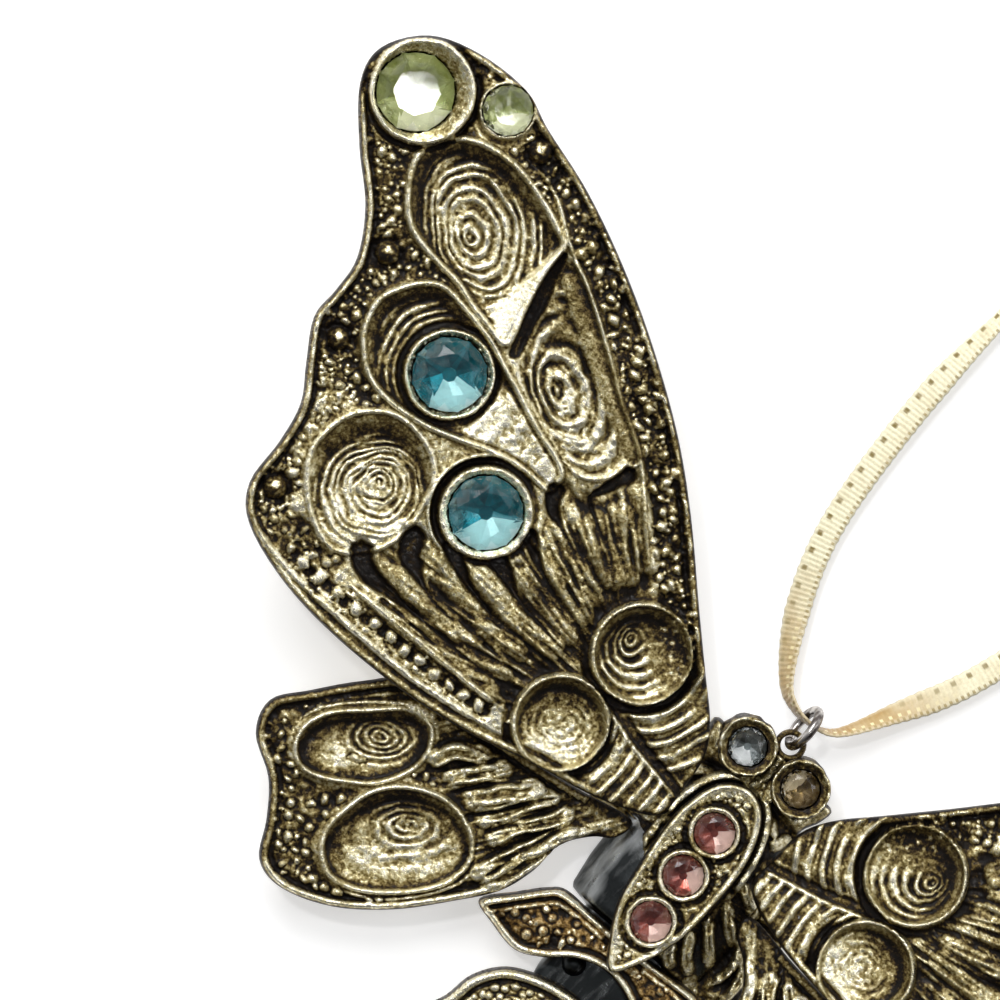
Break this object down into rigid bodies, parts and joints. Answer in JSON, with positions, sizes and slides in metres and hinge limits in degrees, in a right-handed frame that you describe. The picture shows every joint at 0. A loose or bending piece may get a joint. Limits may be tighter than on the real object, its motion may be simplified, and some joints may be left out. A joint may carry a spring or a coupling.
{
  "type": "butterfly hanging ornament",
  "caption": "Cast antique-gold butterfly ornament with relief wings, set stones, a jump ring at the head and a knotted satin ribbon loop to hang it by.",
  "frame": {"origin": "middle of the thorax on the flat back of the body casting", "axes": "+Y to the head and the ribbon, +X to the butterfly's right wings, +Z out of its face"},
  "size_m": [0.1212, 0.1382, 0.0127],
  "materials": {
    "antique_gold": "cast antique gold, bright on its edges over a dark patina",
    "bare_metal": "smooth bare grey metal",
    "satin_ribbon": "cream satin with a woven edge",
    "pale_green_stone": "faceted, foiled behind",
    "aqua_stone": "faceted, foiled behind",
    "rose_stone": "faceted, foiled behind",
    "clear_stone": "faceted, foiled behind",
    "smoky_stone": "faceted, foiled behind"
  },
  "bodies": {
    "butterfly": {"body_core": "bare_metal", "head": "antique_gold", "thorax_plaque": "antique_gold", "tail_collar": "antique_gold", "tail_bell_1": "antique_gold", "tail_bell_2": "antique_gold", "tail_bell_3": "antique_gold", "forewing_left": "antique_gold", "forewing_right": "antique_gold", "hindwing_left": "antique_gold", "hindwing_right": "antique_gold", "tip_stone_left": "pale_green_stone", "tip_stone_right": "pale_green_stone", "small_stone_left": "pale_green_stone", "small_stone_right": "pale_green_stone", "upper_blue_stone_left": "aqua_stone", "upper_blue_stone_right": "aqua_stone", "lower_blue_stone_left": "aqua_stone", "lower_blue_stone_right": "aqua_stone", "thorax_stone_1": "rose_stone", "thorax_stone_2": "rose_stone", "thorax_stone_3": "rose_stone", "eye_stone_left": "clear_stone", "eye_stone_right": "smoky_stone"},
    "hanger": {"jump_ring": "bare_metal", "ribbon_left": "satin_ribbon", "ribbon_right": "satin_ribbon", "ribbon_knot": "satin_ribbon"}
  },
  "joints": [
    {"name": "ring_swing", "type": "hinge", "parent": "butterfly", "child": "hanger", "pos_m": [0, 0.01205, 0.00225], "axis": [0.9659, 0, -0.2588], "range_deg": [-55, 55]}
  ]
}
